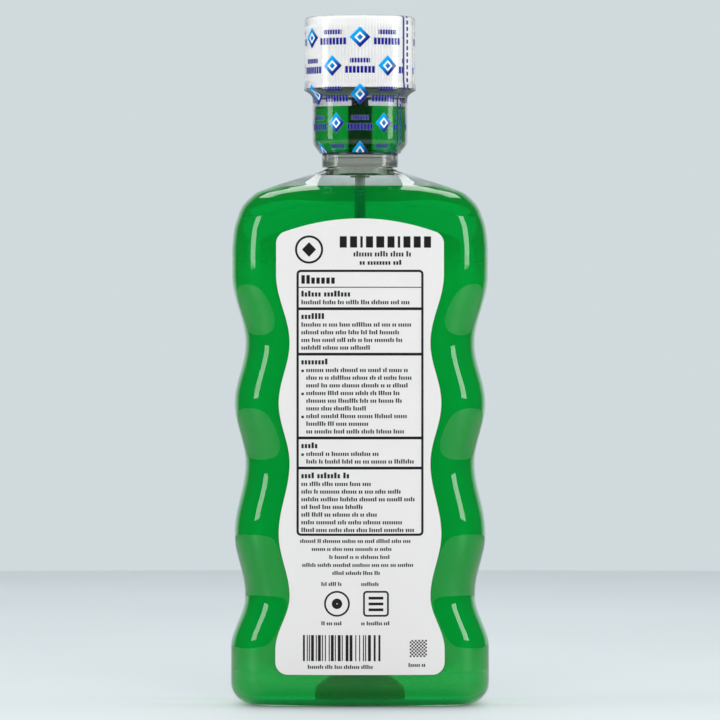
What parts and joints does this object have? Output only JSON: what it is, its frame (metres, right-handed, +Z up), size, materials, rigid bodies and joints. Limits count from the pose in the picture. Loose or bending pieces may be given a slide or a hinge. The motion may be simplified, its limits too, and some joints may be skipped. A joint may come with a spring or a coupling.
{
  "type": "mouthwash bottle",
  "caption": "Clear oval squeeze bottle of green mouthwash with a built-in dosing cup, a ribbed white screw cap and a printed shrink sleeve.",
  "frame": {"origin": "centre of the base, on the plane that the standing ring rests on", "axes": "+Z up along the bottle's axis, X across its width, Y through its depth; the back label faces -Y"},
  "size_m": [0.0848, 0.052, 0.226],
  "materials": {
    "clear_bottle": "clear polished PET",
    "green_liquid": "clear green liquid",
    "label_film": "white film, satin",
    "natural_plastic": "milky natural polyethylene",
    "clear_cup": "clear polished polypropylene",
    "dark_plastic": "dark smooth plastic",
    "white_cap": "white polypropylene, satin",
    "liner_foam": "fine foam",
    "printed_film": "clear shrink film with a blue print",
    "strip_film": "clear shrink film with a blue print"
  },
  "bodies": {
    "bottle": {"bottle_shell": "clear_bottle", "mouthwash": "green_liquid", "back_label": "label_film", "front_label": "label_film", "dip_tube": "natural_plastic", "neck_plug": "natural_plastic", "dosing_cup": "clear_cup", "standpipe": "dark_plastic", "dose": "green_liquid", "lower_sleeve": "printed_film"},
    "lower_strip": {"lower_tear_strip": "strip_film"},
    "liner": {"cap_liner": "liner_foam"},
    "cap": {"cap_shell": "white_cap", "upper_sleeve": "printed_film"},
    "upper_strip": {"upper_tear_strip": "strip_film"}
  },
  "joints": [
    {"name": "cap_lift", "type": "slide", "parent": "bottle", "child": "liner", "axis": [0, 0, 1], "range_m": [0, 0.0252]},
    {"name": "cap_turn", "type": "hinge", "parent": "liner", "child": "cap", "pos_m": [0, 0, 0.2022], "axis": [0, 0, 1], "range_deg": [0, 1081]},
    {"name": "upper_tear", "type": "slide", "parent": "cap", "child": "upper_strip", "axis": [0.8721, -0.4894, 0], "range_m": [0, 0.015]},
    {"name": "lower_tear", "type": "slide", "parent": "bottle", "child": "lower_strip", "axis": [0.8721, -0.4894, 0], "range_m": [0, 0.015]}
  ],
  "couplings": [
    {"joint": "cap_turn", "follows": "cap_lift", "rad_per_m": 748},
    {"joint": "lower_tear", "follows": "upper_tear", "ratio": 1}
  ]
}
